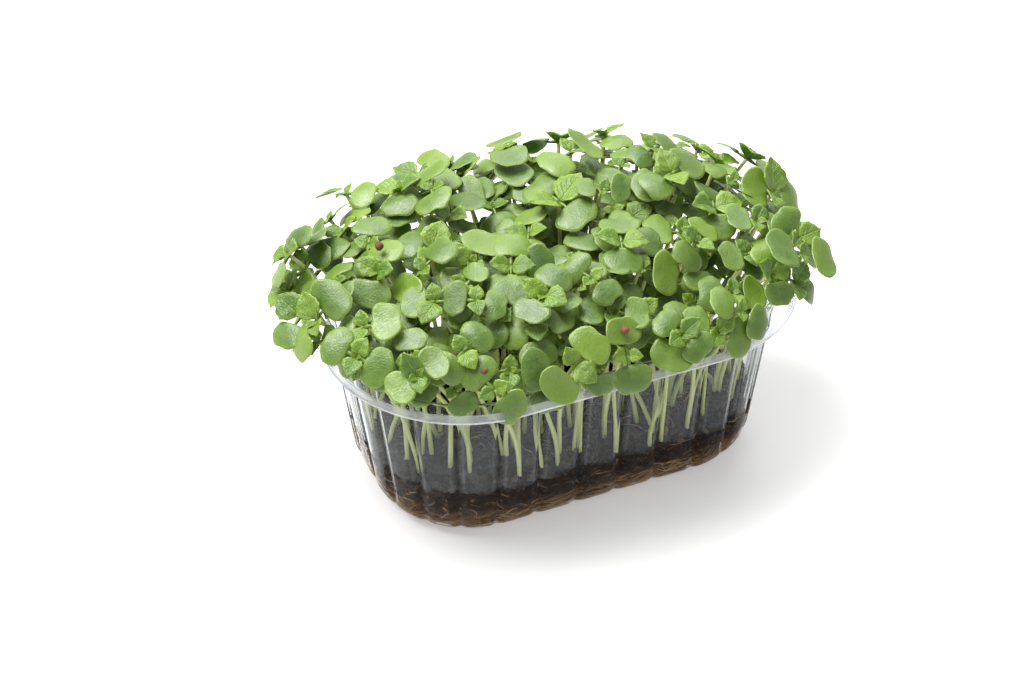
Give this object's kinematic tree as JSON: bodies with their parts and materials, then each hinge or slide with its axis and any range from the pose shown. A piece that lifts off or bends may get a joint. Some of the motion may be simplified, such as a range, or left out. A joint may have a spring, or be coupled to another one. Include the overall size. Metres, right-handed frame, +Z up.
{
  "type": "microgreens tray",
  "caption": "Clear fluted punnet of dark growing medium with a dense canopy of young basil-like seedlings on pale stems, standing on its flat base.",
  "frame": {"origin": "middle of the flat base, on the surface that the tray stands on", "axes": "+X along the long side of the tray, +Z up"},
  "size_m": [0.1202, 0.0804, 0.065],
  "materials": {
    "clear_plastic": "clear thermoformed plastic with a soft haze",
    "growing_medium": "damp dark crumbly peat with tan fibres",
    "greens": "matte mid-green leaves with a soft sheen, pale yellow-green stems",
    "seed_hull": "dull brown seed coat"
  },
  "bodies": {
    "root": {"seed_hull_1": "seed_hull", "seed_hull_2": "seed_hull", "seed_hull_3": "seed_hull", "seedlings_01": "greens", "seedlings_02": "greens", "seedlings_03": "greens", "seedlings_04": "greens", "seedlings_05": "greens", "seedlings_06": "greens", "seedlings_07": "greens", "seedlings_08": "greens", "seedlings_09": "greens", "seedlings_10": "greens", "seedlings_11": "greens", "seedlings_12": "greens", "seedlings_13": "greens", "seedlings_14": "greens", "seedlings_15": "greens", "seedlings_16": "greens", "seedlings_17": "greens", "seedlings_18": "greens", "seedlings_19": "greens", "seedlings_20": "greens", "seedlings_21": "greens", "seedlings_22": "greens", "seedlings_23": "greens", "seedlings_24": "greens", "seedlings_25": "greens", "seedlings_26": "greens", "seedlings_27": "greens", "seedlings_28": "greens", "seedlings_29": "greens", "seedlings_30": "greens", "seedlings_31": "greens", "seedlings_32": "greens", "seedlings_33": "greens", "seedlings_34": "greens", "seedlings_35": "greens", "seedlings_36": "greens", "seedlings_37": "greens", "seedlings_38": "greens", "seedlings_39": "greens", "seedlings_40": "greens", "seedlings_41": "greens", "seedlings_42": "greens", "seedlings_43": "greens", "seedlings_44": "greens", "seedlings_45": "greens", "seedlings_46": "greens", "seedlings_47": "greens", "seedlings_48": "greens", "seedlings_49": "greens", "seedlings_50": "greens", "seedlings_51": "greens", "seedlings_52": "greens", "soil": "growing_medium", "tray": "clear_plastic"}
  },
  "joints": []
}
